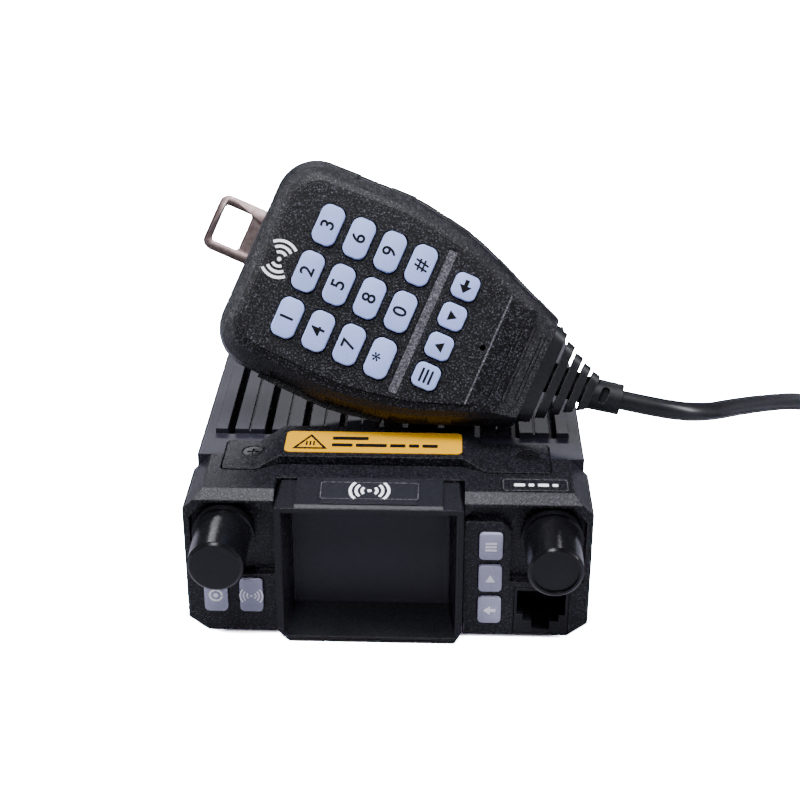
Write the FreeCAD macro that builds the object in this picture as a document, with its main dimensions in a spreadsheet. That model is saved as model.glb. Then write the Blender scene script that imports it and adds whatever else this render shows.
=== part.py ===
# Mobile transceiver with a hand microphone resting on its heat sink. Millimetres, +Z up, +Y to
# the rear. The origin is the middle of the radio's underside, on the surface that it stands on.
import FreeCAD, Part
import math
import os
import re
import Sketcher
from FreeCAD import Matrix, Placement, Rotation, Vector

doc = FreeCAD.newDocument("mobile_transceiver")
dims = doc.addObject("Spreadsheet::Sheet", "dims")

size = {
    # radio case
    "width": 98, "depth": 102, "panel_top": 39.5, "panel_depth": 19.7, "panel_base": 0.8,
    "wall": 2.2, "top_bevel_wide": 4.7, "top_bevel_high": 4.4, "foot_bevel_wide": 4.9,
    "foot_bevel_high": 3.7, "recess_deep": 2.5, "brow_deep": 2.6, "brow_drop": 2, "gap": 0.15,
    "cover_thick": 1.2,
    # chassis and heat sink
    "chassis_inset": 1.1, "chassis_width": "=width - 2 * chassis_inset", "chassis_wall": 3,
    "rear_wall": 3.5, "roof_under": 28,
    "shoulder_top": 39.4, "shoulder_wide": 3.2, "fin_top": 40.9, "land_deep": 11,
    "slot_pitch": 9.4, "slot_wide": 1.9, "slot_deep": 9, "slot_edge": 7.2,
    "groove_wide": 0.5, "groove_deep": 0.6, "boss_radius": 3.6, "board_height": 12,
    "boss_inset": 7, "side_hole_radius": 2, "side_hole_height": 20, "side_hole_pitch": 40,
    "side_hole_y": 12,
    # joining strip and labels
    "strip_thick": 1.4, "strip_round": 1.5, "strip_left": 40.9, "strip_right": 39.2, "strip_front": 12,
    "tab_deep": 14.8, "band_left": 27, "band_right": 18, "band_front": 15.2, "band_deep": 16.2,
    "band_rise": 1.9, "ramp": 5.6, "label_thick": 0.15, "strip_screw_x": 34, "strip_screw_y": 21.1,
    "head_radius": 2.6, "screw_radius": 1.25, "lug_wide": 8, "lug_deep": 4.4, "lug_thick": 5,
    # display
    "display_x": -4.35, "bezel_width": 45.1, "bezel_proud": 3.2, "bezel_deep": 11.2,
    "bezel_top": 38.9, "hood_width": 35.2, "hood_rise": 0.7, "hood_drop": 1.6,
    "window_side": 1.7, "window_taper": 1.6, "sill": 1.4, "sill_rise": 2.9, "window_top": 36.2,
    "window_roof": 33.2, "glass_thick": 1.2, "lcd_thick": 4, "pcb_thick": 1.6, "lap": 1,
    "nameplate_width": 22.7, "nameplate_thick": 0.35, "plate_width": 16.4, "plate_deep": 6.4,
    "plate_inset": 5.6,
    # knobs
    "knob_wall": 1.6, "knob_room": 0.65, "knob_inset": "=knob_wall + knob_room + skirt_radius",
    "knob_top_room": 3.25, "knob_height": "=panel_top - knob_top_room - skirt_radius",
    "knob_length": 16, "knob_radius": 6.9,
    "tip_taper": 0.35, "skirt_lip": 0.55, "knob_tip_radius": "=knob_radius - tip_taper",
    "skirt_radius": "=knob_radius + skirt_lip", "skirt_deep": 3.1, "knob_gap": 0.9,
    "shaft_radius": 3, "shaft_long": 9, "pot_side": 12, "pot_deep": 5.5, "dish_deep": 0.6,
    "knob_recess_base": 17, "recess_roof": 2.7, "knob_recess_top": "=panel_top - recess_roof",
    "push_travel": 0.5,
    # panel buttons
    "button_wide": 5.6, "button_high": 9, "call_high": 7.2, "button_proud": 1,
    "button_deep": 6.2, "button_round": 1.1, "flange": 0.7, "flange_thick": 1,
    "left_button_height": 11.4, "monitor_inset": 7.1, "radio_inset": 15.8,
    "column_room": 2.3, "column_inset": "=knob_inset + skirt_radius + column_room + pod_wide / 2",
    "column_low": 8.4, "column_pitch": 9, "pod_wide": 9.5, "pod_top": 32.7,
    "pod_bevel": 2.4, "button_travel": 0.6,
    # microphone jack
    "jack_inset": 11.55, "jack_wide": 13.2, "jack_base": 1.4, "jack_top": 14.4, "jack_deep": 13,
    "jack_open_wide": 11.8, "jack_open_top": 13.6, "jack_step": 6.7, "latch_wide": 8.8,
    "latch_step": 4.9, "key_wide": 4.4, "key_base": 2.6,
    # rear fittings
    "fan_side": 25, "fan_thick": 8, "fan_x": 24, "fan_height": 14.9, "fan_open": 11.3,
    "rotor_radius": 10.6, "hub_radius": 4.5, "spoke": 1.2, "fan_screw_pitch": 20, "axle_radius": 1.2,
    "antenna_x": -30, "antenna_height": 21, "antenna_flange": 24, "antenna_radius": 7.94,
    "antenna_long": 15, "antenna_bore": 4.6, "antenna_pin_bore": 2.1, "gland_x": -7,
    "gland_height": 12, "gland_radius": 5, "gland_long": 5, "gland_bore": 2.6,
    "phones_x": -7, "phones_height": 25, "phones_radius": 4, "phones_bore": 1.8,
    # speaker and boards
    "speaker_radius": 15, "speaker_high": 8.5, "speaker_x": -18, "speaker_y": 8,
    "module_long": 60, "module_wide": 18, "module_high": 7,
    # hand microphone, in its own frame: X across, Y to the hanger, Z out of the face
    "mic_x": -20.95, "mic_behind": 39.33, "mic_y": "=mic_behind - depth / 2", "rest_gap": 0.35,
    "mic_yaw": 47.03, "mic_pitch": -55.07,
    "mic_roll": 35.27, "mic_half_top": 27.7, "mic_half": 28.7, "mic_top": 17,
    "mic_waist_y": -17.9, "mic_hip": 25.4, "mic_hip_y": -35.2, "mic_neck": 14.6,
    "mic_end": -61.7, "mic_corner": 10.5, "mic_soft": 40, "mic_thick": 21.6, "mic_split": 10,
    "mic_neck_back": 15.5, "mic_crease": -48.9, "mic_drop": 2, "mic_wall": 2, "face_inset": 6.2,
    "face_rise": 0.6, "grip_step": 0.55,
    "key_long": 10.2, "key_short": 6.1, "key_gap": 2.3, "row_gap": 2.25, "key_round": 1.9,
    "key_pitch": "=key_long + key_gap", "row_pitch": "=key_short + row_gap",
    "function_row": -37.2, "function_side": 6.4, "function_gap": 1.59, "function_round": 1.6,
    "function_pitch": "=function_side + function_gap",
    "key_proud": 1.2, "key_deep": 3.4, "key_travel": 1, "bar_y": -31, "bar_wide": 2.5,
    "bar_half": 19.3, "mic_hole": 0.75,
    "ptt_top": 2.5, "ptt_base": -31, "ptt_front": 6.2, "ptt_back": 13.6, "ptt_proud": 0.8,
    "ptt_deep": 4, "ptt_gap": 0.4, "ptt_travel": 1.2,
    "hanger_x": 3.9, "hanger_wide": 15.2, "hanger_top": 32.3, "hanger_base": -2,
    "hanger_thick": 1.4, "hanger_round": 2.6, "hanger_band": 2.6, "hanger_window": 7.8,
    "boot_axis": 8.5, "boot_radius": 3.9, "boot_end": -83.5, "boot_start": -75.7,
    "boot_lean": 2.4, "boot_turn": 11,
    # microphone cord
    "cord_diameter": 5, "curl_diameter": 14, "curl_x": 182, "curl_y": 27, "curl_radius": 55.5,
    "curl_start": 125, "curl_sweep": 295, "curl_runs": 12, "plug_wide": 11.7, "plug_high": 8,
    "plug_long": 22,
}

for line, (name, value) in enumerate(size.items(), 1):
    dims.set("A%d" % line, name)
    dims.set("B%d" % line, str(value))
    dims.setAlias("B%d" % line, name)
doc.recompute()

nodes = []
class Sized:
    """Sizes by name, for the shapes that are made in code."""
s = Sized()
for name in size:
    setattr(s, name, float(dims.get(name)))


def ex(text):
    """Point each size's name at its cell of the sheet."""
    return re.sub(r"[a-z_]+", lambda word: "dims." + word[0] if word[0] in size else word[0], str(text))


def bind(thing, sizes):
    for prop, text in sizes.items():
        thing.setExpression(prop, ex(text))


def put(thing, x, y, z):
    bind(thing, {"Placement.Base.x": x, "Placement.Base.y": y, "Placement.Base.z": z})
    return thing


def box(x, y, z, long, deep, high):
    """A block from its lowest corner and its three sides."""
    block = doc.addObject("Part::Box", "block")
    bind(block, {"Length": long, "Width": deep, "Height": high})
    return put(block, x, y, z)


turns = {"x": Rotation(Vector(0, 1, 0), 90), "y": Rotation(Vector(1, 0, 0), -90), "z": Rotation()}


def rod(x, y, z, radius, length, axis="z"):
    """A cylinder from the middle of its first end, along +axis."""
    pin = doc.addObject("Part::Cylinder", "pin")
    pin.Placement = Placement(Vector(), turns[axis])
    bind(pin, {"Radius": radius, "Height": length})
    return put(pin, x, y, z)


def taper(x, y, z, first, last, length, axis="z"):
    cone = doc.addObject("Part::Cone", "cone")
    cone.Placement = Placement(Vector(), turns[axis])
    bind(cone, {"Radius1": first, "Radius2": last, "Height": length})
    return put(cone, x, y, z)


def prism(points, axis, start, length, rounding=None):
    """A sketched outline padded along +axis, its long edges rounded when asked."""
    body = doc.addObject("PartDesign::Body", "body")
    sketch = body.newObject("Sketcher::SketchObject", "outline")
    role = {"x": "YZ_Plane", "y": "XZ_Plane", "z": "XY_Plane"}[axis]
    plane = [f for f in body.Origin.OriginFeatures if f.Role == role][0]
    sketch.AttachmentSupport = [(plane, "")]
    sketch.MapMode = "FlatFace"
    count = len(points)
    guess = [Vector(10 * math.cos(math.tau * i / count), 10 * math.sin(math.tau * i / count), 0)
             for i in range(count)]
    for i in range(count):
        sketch.addGeometry(Part.LineSegment(guess[i], guess[(i + 1) % count]), False)
    for i in range(count):
        sketch.addConstraint(Sketcher.Constraint("Coincident", i, 2, (i + 1) % count, 1))
    for i, point in enumerate(points):
        for kind, text, now in zip(("DistanceX", "DistanceY"), point, guess[i]):
            where = sketch.addConstraint(Sketcher.Constraint(kind, -1, 1, i, 1, now))
            sketch.setExpression("Constraints[%d]" % where, ex(text))
    sign = "-" if axis == "y" else ""
    bind(sketch, {"AttachmentOffset.Base.z": "%s(%s)" % (sign, start)})
    pad = body.newObject("PartDesign::Pad", "pad")
    pad.Profile = sketch
    pad.Reversed = axis == "y"
    bind(pad, {"Length": length})
    if rounding:
        doc.recompute()
        along = {"x": Vector(1, 0, 0), "y": Vector(0, 1, 0), "z": Vector(0, 0, 1)}[axis]
        edges = ["Edge%d" % n for n, edge in enumerate(pad.Shape.Edges, 1)
                 if abs(edge.tangentAt(edge.FirstParameter).dot(along)) > 0.99]
        fillet = body.newObject("PartDesign::Fillet", "rounding")
        fillet.Base = (pad, edges)
        bind(fillet, {"Radius": rounding})
        body.Tip = fillet
    return body


def slab(x, y, z, long, deep, high, axis, rounding):
    """A block with the edges along one axis rounded."""
    low = {"x": (y, z), "y": (x, z), "z": (x, y)}[axis]
    span = {"x": (deep, high), "y": (long, high), "z": (long, deep)}[axis]
    start, length = {"x": (x, long), "y": (y, deep), "z": (z, high)}[axis]
    far = ["(%s) + %s" % pair for pair in zip(low, span)]
    corners = [(low[0], low[1]), (far[0], low[1]), (far[0], far[1]), (low[0], far[1])]
    return prism(corners, axis, start, length, rounding)


def fuse(*things):
    whole = doc.addObject("Part::MultiFuse", "whole")
    whole.Shapes = list(things)
    return whole


def cut(base, *tools):
    left = doc.addObject("Part::Cut", "left")
    left.Base = base
    left.Tool = tools[0] if len(tools) == 1 else fuse(*tools)
    return left


def common(first, second):
    shared = doc.addObject("Part::Common", "shared")
    shared.Base = first
    shared.Tool = second
    return shared


def group(*things):
    """Separate solids that share one node."""
    several = doc.addObject("Part::Compound", "several")
    several.Links = list(things)
    return several


def sub_part(thing, label, place=None):
    thing.Label = label
    if place:
        thing.Placement = place
    nodes.append(thing)
    return thing


def from_shape(shape, label, place=None):
    feature = doc.addObject("Part::Feature", label)
    feature.Shape = shape
    return sub_part(feature, label, place)


front = "-depth / 2"
seam = "-depth / 2 + panel_depth"


# The radio case.

def panel_outline(inset):
    """The front view of the panel, drawn in by a wall's thickness."""
    side, top, low = "width / 2 - %s" % inset, "panel_top - %s" % inset, "panel_base + %s" % inset
    right = [("width / 2 - foot_bevel_wide - %s / 3" % inset, low),
             (side, "panel_base + foot_bevel_high + %s / 3" % inset),
             (side, "panel_top - top_bevel_high - %s / 3" % inset),
             ("width / 2 - top_bevel_wide - %s / 3" % inset, top)]
    return right + [("-(%s)" % x, z) for x, z in reversed(right)]


def strip_outline(grow):
    """The top view of the joining strip: two tabs and a deeper middle band."""
    rear = "depth / 2 * -1 + strip_front + tab_deep + %s" % grow
    fore = "depth / 2 * -1 + strip_front - %s" % grow
    band_fore = "depth / 2 * -1 + band_front - %s" % grow
    band_rear = "depth / 2 * -1 + band_front + band_deep + %s" % grow
    left, right = "-strip_left - %s" % grow, "strip_right + %s" % grow
    return [(left, fore), ("-band_left - ramp", fore), ("-band_left", band_fore),
            ("band_right", band_fore), ("band_right + ramp", fore), (right, fore),
            (right, rear), ("band_right + ramp", rear), ("band_right", band_rear),
            ("-band_left", band_rear), ("-band_left - ramp", rear), (left, rear)]


def front_panel():
    shell = prism(panel_outline("0"), "y", front, "panel_depth")
    inside = prism(panel_outline("wall"), "y", front + " + wall + recess_deep", "panel_depth")
    left, right = "-width / 2 + knob_inset", "width / 2 - knob_inset"
    recess_left = prism([("-width / 2 + knob_wall", "knob_recess_base"),
                         ("display_x - bezel_width / 2", "knob_recess_base"),
                         ("display_x - bezel_width / 2", "knob_recess_top - 4"),
                         ("display_x - bezel_width / 2 - 6", "knob_recess_top"),
                         ("-width / 2 + 5", "knob_recess_top"),
                         ("-width / 2 + knob_wall", "knob_recess_top - 4")],
                        "y", front + " - 1", "recess_deep + 1")
    pod_side = "width / 2 - column_inset + pod_wide / 2"
    recess_right = prism([(pod_side, "knob_recess_base - 1"),
                          ("width / 2 - knob_wall", "knob_recess_base - 1"),
                          ("width / 2 - knob_wall", "knob_recess_top - 4"),
                          ("width / 2 - 5", "knob_recess_top"),
                          ("display_x + bezel_width / 2 + 3", "knob_recess_top"),
                          ("display_x + bezel_width / 2", "knob_recess_top - 3"),
                          ("display_x + bezel_width / 2", "pod_top"),
                          (pod_side + " - pod_bevel", "pod_top"), (pod_side, "pod_top - pod_bevel")],
                         "y", front + " - 1", "recess_deep + 1")
    opening = box("display_x - bezel_width / 2 - gap", front + " - 1", "-1",
                  "bezel_width + 2 * gap", "bezel_deep - bezel_proud + 1 + gap", "panel_top + 2")
    screen = box("display_x - bezel_width / 2 + window_side + window_taper - lap - gap", front + " + 1", "-1",
                 "bezel_width - 2 * (window_side + window_taper - lap) + 2 * gap",
                 "bezel_deep - bezel_proud + glass_thick + lcd_thick", "window_roof + lap + 1 + gap")
    shafts = [rod(x, front + " - 1", "knob_height", "shaft_radius + 0.8", "wall + recess_deep + 3", "y")
              for x in (left, right)]
    strip_bed = prism(strip_outline("0.35"), "z", "panel_top - strip_thick + 0.2", "strip_thick + 2",
                      "strip_round")
    plate_bed = cut(slab("width / 2 - plate_inset - plate_width", front + " + 3", "panel_top - 0.5",
                         "plate_width", "plate_deep", "2", "z", "1"),
                    slab("width / 2 - plate_inset - plate_width + 0.5", front + " + 3.5",
                         "panel_top - 1", "plate_width - 1", "plate_deep - 1", "2", "z", "0.6"))
    jack = box("width / 2 - jack_inset - jack_wide / 2 - gap", front + " - 1", "jack_base - gap",
               "jack_wide + 2 * gap", "jack_deep + 1 + gap", "jack_top - jack_base + 2 * gap")
    holes = [slab("(%s) - button_wide / 2 - gap" % x, front + " - 1", "(%s) - (%s) / 2 - gap" % (z, high),
                  "button_wide + 2 * gap", "wall + recess_deep + 3", "(%s) + 2 * gap" % high,
                  "y", "button_round + gap") for x, z, high in button_places().values()]
    bay = box("-width / 2 + wall", front + " + wall + 0.6", "panel_base + 2.5", "width - 2 * wall",
              "recess_deep", "knob_recess_base - 1 - panel_base - 3.5 - wall")
    rise = "brow_deep / brow_drop"
    brow = prism([(front + " - 1", "panel_top - brow_drop - brow_drop / brow_deep"),
                  (front + " + brow_deep + " + rise, "panel_top + 1"), (front + " - 1", "panel_top + 1")],
                 "x", "-width / 2 - 1", "width + 2")
    whole = cut(shell, inside, recess_left, recess_right, opening, screen, strip_bed, plate_bed, jack, bay,
                brow, *shafts, *holes)
    return sub_part(whole, "front_panel")


def button_places():
    """Each panel button's middle and height, in the front view."""
    column = "width / 2 - column_inset"
    return {
        "button_monitor": ("-width / 2 + monitor_inset", "left_button_height", "button_high"),
        "button_radio": ("-width / 2 + radio_inset", "left_button_height", "button_high"),
        "button_exit": (column, "column_low", "call_high"),
        "button_call": (column, "column_low + column_pitch", "call_high"),
        "button_memory": (column, "column_low + 2 * column_pitch", "call_high"),
    }


def panel_buttons():
    for name, (x, z, high) in button_places().items():
        cap = slab("(%s) - button_wide / 2" % x, front + " - button_proud", "(%s) - (%s) / 2" % (z, high),
                   "button_wide", "button_deep + button_proud", high, "y", "button_round")
        rim = slab("(%s) - button_wide / 2 - flange" % x, front + " + wall + recess_deep + 0.3",
                   "(%s) - (%s) / 2 - flange" % (z, high), "button_wide + 2 * flange", "flange_thick",
                   "(%s) + 2 * flange" % high, "y", "button_round")
        sub_part(fuse(cap, rim), name)


def display():
    left, right = "display_x - bezel_width / 2", "display_x + bezel_width / 2"
    face = front + " - bezel_proud"
    back = front + " + bezel_deep - bezel_proud"
    block = prism([(left + " + 2.7", "0"), (right + " - 1.7", "0"), (right, "3.2"), (right, "bezel_top - 2"),
                   (right + " - 1.2", "bezel_top"), (left + " + 1.2", "bezel_top"),
                   (left, "bezel_top - 2"), (left, "3.2")], "y", face, "bezel_deep")
    hood = prism([(face, "bezel_top - hood_drop - 3"), (back, "bezel_top - 3"),
                  (back, "bezel_top + hood_rise"), (face + " + 1", "bezel_top + hood_rise - hood_drop"),
                  (face, "bezel_top + hood_rise - hood_drop - 0.8")],
                 "x", "display_x - hood_width / 2", "hood_width")
    slope = prism([(face + " - 1", "bezel_top - hood_drop"), (back + " + 1", "bezel_top + 0.1"),
                   (back + " + 1", "bezel_top + 4"), (face + " - 1", "bezel_top + 4")],
                  "x", left + " - 1", "bezel_width + 2")
    window = doc.addObject("Part::Wedge", "window")
    bind(window, {"Xmin": left + " + window_side", "Xmax": right + " - window_side",
                  "Zmin": "sill", "Zmax": "window_top", "Ymin": face, "Ymax": back,
                  "X2min": left + " + window_side + window_taper",
                  "X2max": right + " - window_side - window_taper",
                  "Z2min": "sill + sill_rise", "Z2max": "window_roof"})
    sub_part(cut(fuse(cut(block, slope), hood), window), "display_bezel")
    pane = ["%s + window_side + window_taper - lap" % left, back, "sill + sill_rise - lap"]
    wide = "bezel_width - 2 * (window_side + window_taper - lap)"
    high = "window_roof - sill - sill_rise + 2 * lap"
    sub_part(box(*pane, wide, "glass_thick", high), "display_window")
    pane[1] = back + " + glass_thick"
    sub_part(box(*pane, wide, "lcd_thick", high), "lcd_module")
    rest, rise = "1.2", "hood_drop / (bezel_deep - 1)"
    fore, aft = "(%s) + %s" % (face, rest), "(%s) - 0.3" % back
    low = "bezel_top + hood_rise - hood_drop + (%s - 1) * %s" % (rest, rise)
    top = "bezel_top + hood_rise - 0.3 * %s" % rise
    sub_part(prism([(fore, low), (aft, top), (aft, top + " + nameplate_thick"),
                    (fore, low + " + nameplate_thick")],
                   "x", "display_x - nameplate_width / 2", "nameplate_width"), "nameplate")


def boards():
    board = front + " + bezel_deep - bezel_proud + glass_thick + lcd_thick"
    sub_part(box("-width / 2 + wall + 4", board, "panel_base + wall + 0.6", "width - 2 * wall - 8",
                 "pcb_thick", "panel_top - panel_base - 2 * wall - 2.4"), "front_pcb")
    sub_part(box("-chassis_width / 2 + chassis_wall + 0.5", seam + " + 2", "board_height",
                 "chassis_width - 2 * chassis_wall - 1",
                 "depth - panel_depth - rear_wall - fan_thick - 3", "pcb_thick"), "main_pcb")
    sub_part(box("-module_long / 2", seam + " + 14", "roof_under - module_high", "module_long",
                 "module_wide", "module_high"), "rf_power_module")
    magnet = rod("speaker_x", "speaker_y", "cover_thick + 3.5", "speaker_radius * 0.55", "speaker_high - 3.5")
    sub_part(fuse(rod("speaker_x", "speaker_y", "cover_thick", "speaker_radius", "3.5"), magnet), "speaker")


def chassis():
    side = "chassis_width / 2"
    block = box("-chassis_width / 2", seam, "cover_thick", "chassis_width", "depth - panel_depth",
                "shoulder_top - cover_thick")
    crown = box("-chassis_width / 2 + shoulder_wide", seam + " + land_deep", "shoulder_top - 1",
                "chassis_width - 2 * shoulder_wide", "depth - panel_depth - land_deep",
                "fin_top - shoulder_top + 1")
    lugs = [box(sign + "strip_screw_x - lug_wide / 2", seam + " - lug_deep",
                "panel_top - wall - lug_thick", "lug_wide", "lug_deep + 1", "lug_thick")
            for sign in ("-", "")]
    hollow = box("-chassis_width / 2 + chassis_wall", seam + " - 1", "cover_thick - 1",
                 "chassis_width - 2 * chassis_wall", "depth - panel_depth - rear_wall + 1",
                 "roof_under - cover_thick + 1")
    corners = [(sx, sy) for sx in ("-", "") for sy in (seam + " + boss_inset",
                                                       "depth / 2 - boss_inset - fan_thick - 3")]
    bosses = [rod("%s(%s - chassis_wall - 2.5)" % (sx, side), sy, "cover_thick", "boss_radius",
                  "board_height - cover_thick") for sx, sy in corners]
    boss_holes = [rod("%s(%s - chassis_wall - 2.5)" % (sx, side), sy, "cover_thick - 1",
                      "screw_radius + 0.05", "8.5") for sx, sy in corners]
    slots = []
    for k in range(5):
        for sign in ("-", ""):
            x = "%s(%s - slot_edge - %d * slot_pitch)" % (sign, side, k)
            slots.append(box(x + " - slot_wide / 2", seam + " + land_deep", "fin_top - slot_deep",
                             "slot_wide", "depth", "slot_deep + 1"))
            if k < 4:
                y = "%s(%s - slot_edge - %d.5 * slot_pitch)" % (sign, side, k)
                slots.append(box(y + " - groove_wide / 2", seam + " + land_deep - 1",
                                 "fin_top - groove_deep", "groove_wide", "depth", "groove_deep + 1"))
    bed = prism(strip_outline("0.35"), "z", "panel_top - strip_thick + 0.2", "strip_thick + 3", "strip_round")
    screw_holes = [rod(sign + "strip_screw_x", front + " + strip_screw_y", "panel_top - wall - 5.5",
                       "screw_radius + 0.05", "8") for sign in ("-", "")]
    side_holes = [rod(sx + "chassis_width / 2 - %s" % deep, "side_hole_y %s side_hole_pitch / 2" % sy,
                      "side_hole_height", "side_hole_radius", "chassis_wall + 2", "x")
                  for sx, deep in (("-", "1"), ("", "chassis_wall - (-1)")) for sy in ("-", "+")]
    rear = "depth / 2 - rear_wall - 1"
    ring = cut(rod("fan_x", rear, "fan_height", "fan_open", "rear_wall + 2", "y"),
               cut(rod("fan_x", rear, "fan_height", "fan_open * 0.66 + spoke / 2", "rear_wall + 2", "y"),
                   rod("fan_x", rear, "fan_height", "fan_open * 0.66 - spoke / 2", "rear_wall + 2", "y")),
               rod("fan_x", rear, "fan_height", "hub_radius", "rear_wall + 2", "y"),
               box("fan_x - fan_side / 2", rear, "fan_height - spoke / 2", "fan_side", "rear_wall + 2",
                   "spoke"),
               box("fan_x - spoke / 2", rear, "fan_height - fan_side / 2", "spoke", "rear_wall + 2",
                   "fan_side"))
    ports = [rod("antenna_x", rear, "antenna_height", "antenna_bore + 1.4", "rear_wall + 2", "y"),
             rod("gland_x", rear, "gland_height", "gland_radius - 1.2", "rear_wall + 2", "y"),
             rod("phones_x", rear, "phones_height", "phones_radius - 1", "rear_wall + 2", "y")]
    fan_holes = [rod("fan_x %s fan_screw_pitch / 2" % sx, rear, "fan_height %s fan_screw_pitch / 2" % sz,
                     "screw_radius + 0.05", "rear_wall + 2", "y") for sx in "-+" for sz in "-+"]
    body = cut(fuse(block, crown, *lugs), hollow)
    sub_part(cut(fuse(body, *bosses), bed, ring, *boss_holes, *slots, *screw_holes, *side_holes,
                 *ports, *fan_holes), "chassis_heatsink")

    plate = slab("-chassis_width / 2 + 0.4", seam + " + 0.3", "0", "chassis_width - 0.8",
                 "depth - panel_depth - 0.6", "cover_thick", "z", "2.5")
    vents = [slab("speaker_x - 11 + %d * 3.6" % k, "speaker_y - 9 + %g" % abs(k - 3), "-1", "1.6",
                  "18 - 2 * %g" % abs(k - 3), "cover_thick + 2", "z", "0.7") for k in range(7)]
    sinks = [taper("%s(%s - chassis_wall - 2.5)" % (sx, side), sy, "0", "head_radius",
                   "screw_radius + 0.1", "cover_thick") for sx, sy in corners]
    sub_part(cut(plate, *vents, *sinks), "bottom_cover")

    screws = []
    for sx, sy in corners:
        x = "%s(%s - chassis_wall - 2.5)" % (sx, side)
        head = taper(x, sy, "0.1", "head_radius - 0.15", "screw_radius", "cover_thick - 0.1")
        drive = fuse(box(x + " - 1.4", sy + " - 0.3", "0", "2.8", "0.6", "0.6"),
                     box(x + " - 0.3", sy + " - 1.4", "0", "0.6", "2.8", "0.6"))
        screws.append(cut(fuse(head, rod(x, sy, "cover_thick", "screw_radius", "6")), drive))
    for sx in "-+":
        for sz in "-+":
            x, z = "fan_x %s fan_screw_pitch / 2" % sx, "fan_height %s fan_screw_pitch / 2" % sz
            drive = box(x + " - 1.3", "depth / 2 + 1.2", z + " - 0.3", "2.6", "1", "0.6")
            screws.append(cut(fuse(rod(x, "depth / 2", z, "head_radius - 0.4", "1.5", "y"),
                                   rod(x, "depth / 2 - rear_wall - fan_thick + 0.5", z, "screw_radius",
                                       "rear_wall + fan_thick - 0.4", "y")), drive))
    sub_part(group(*screws), "case_screws")


def joining_strip():
    outline = prism(strip_outline("0"), "z", "panel_top - strip_thick + 0.3", "strip_thick + band_rise + 1",
                    "strip_round")
    low, top = "panel_top - strip_thick + 0.3", "panel_top + 0.2"
    profile = prism([("-strip_left - 1", low), ("strip_right + 1", low), ("strip_right + 1", top),
                     ("band_right + ramp", top), ("band_right", top + " + band_rise"),
                     ("-band_left", top + " + band_rise"), ("-band_left - ramp", top),
                     ("-strip_left - 1", top)],
                    "y", front + " + strip_front - 2", "tab_deep + band_deep")
    y = front + " + strip_screw_y"
    holes = [rod(sign + "strip_screw_x", y, low + " - 1", "screw_radius + 0.15", "4")
             for sign in ("-", "")]
    sinks = [rod(sign + "strip_screw_x", y, top + " - 0.9", "head_radius + 0.2", "2")
             for sign in ("-", "")]
    sub_part(cut(common(outline, profile), *holes, *sinks), "top_strip")
    screws = []
    for sign in ("-", ""):
        x = sign + "strip_screw_x"
        head = rod(x, y, top + " - 0.9", "head_radius", "0.75")
        drive = fuse(box(x + " - 1.5", y + " - 0.3", top + " - 0.6", "3", "0.6", "1"),
                     box(x + " - 0.3", y + " - 1.5", top + " - 0.6", "0.6", "3", "1"))
        screws.append(cut(fuse(head, rod(x, y, "panel_top - wall - 5", "screw_radius", "wall + 4.6")), drive))
    sub_part(group(*screws), "strip_screws")
    sub_part(slab("-band_left + 0.9", front + " + band_front + 2", top + " + band_rise",
                  "band_left + band_right - 1.2", "band_deep - 5.2", "label_thick", "z", "1.6"),
             "hot_surface_label")


def knobs():
    floor = front + " + recess_deep - knob_gap"
    for sign, knob, shaft, base in (("-", "volume_knob", "volume_shaft", "volume_pot"),
                                    ("", "channel_knob", "encoder_shaft", "encoder_body")):
        x = "%s(width / 2 - knob_inset)" % sign
        z = "knob_height"
        tip = front + " - knob_length"
        grip = taper(x, tip, z, "knob_tip_radius", "knob_radius", "knob_length + recess_deep - knob_gap", "y")
        facets = doc.addObject("Part::Prism", "facets")
        facets.Polygon = 12
        facets.Placement = Placement(Vector(), turns["y"])
        bind(facets, {"Circumradius": "knob_radius + 0.06", "Height": "knob_length + recess_deep - knob_gap"})
        put(facets, x, tip, z)
        rim = rod(x, "(%s) - skirt_deep" % floor, z, "skirt_radius", "skirt_deep", "y")
        loose = "0.05" if sign == "" else "0"
        bore = rod(x, "(%s) - shaft_long - 4 * %s" % (floor, loose), z, "shaft_radius + " + loose,
                   "shaft_long + 1.2", "y")
        edge = cut(rod(x, tip + " - 1", z, "knob_radius + 2", "1.7", "y"),
                   taper(x, tip + " - 1", z, "knob_tip_radius - 1.7", "knob_tip_radius + 0.1", "1.8", "y"))
        tools = [bore, edge]
        if sign == "":
            tools.append(cut(rod(x, tip + " - 1", z, "knob_tip_radius - 1.2", "dish_deep + 1", "y"),
                             taper(x, tip, z, "0.2", "knob_tip_radius - 2.2", "dish_deep", "y")))
        sub_part(cut(fuse(common(grip, facets), rim), *tools), knob)
        board = front + " + bezel_deep - bezel_proud + glass_thick + lcd_thick"
        top = board + " - pot_deep"
        start = "(%s) - shaft_long" % floor
        stem = rod(x, start, z, "shaft_radius", "(%s) + 3 - (%s)" % (top, start), "y")
        if sign == "-":
            sub_part(stem, shaft)
        else:
            sub_part(fuse(stem, rod(x, top + " + 1.8", z, "shaft_radius + 1", "1.2", "y")), shaft)
        housing = box(x + " - pot_side / 2", top, z + " - pot_side / 2", "pot_side", "pot_deep", "pot_side")
        room = rod(x, top + " - 1", z, "shaft_radius + 0.1", "pot_deep", "y")
        chamber = rod(x, top + " + 1.2", z, "shaft_radius + 1.4", "pot_deep - 2", "y")
        sub_part(cut(housing, room, chamber) if sign == "" else cut(housing, room), base)


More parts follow.
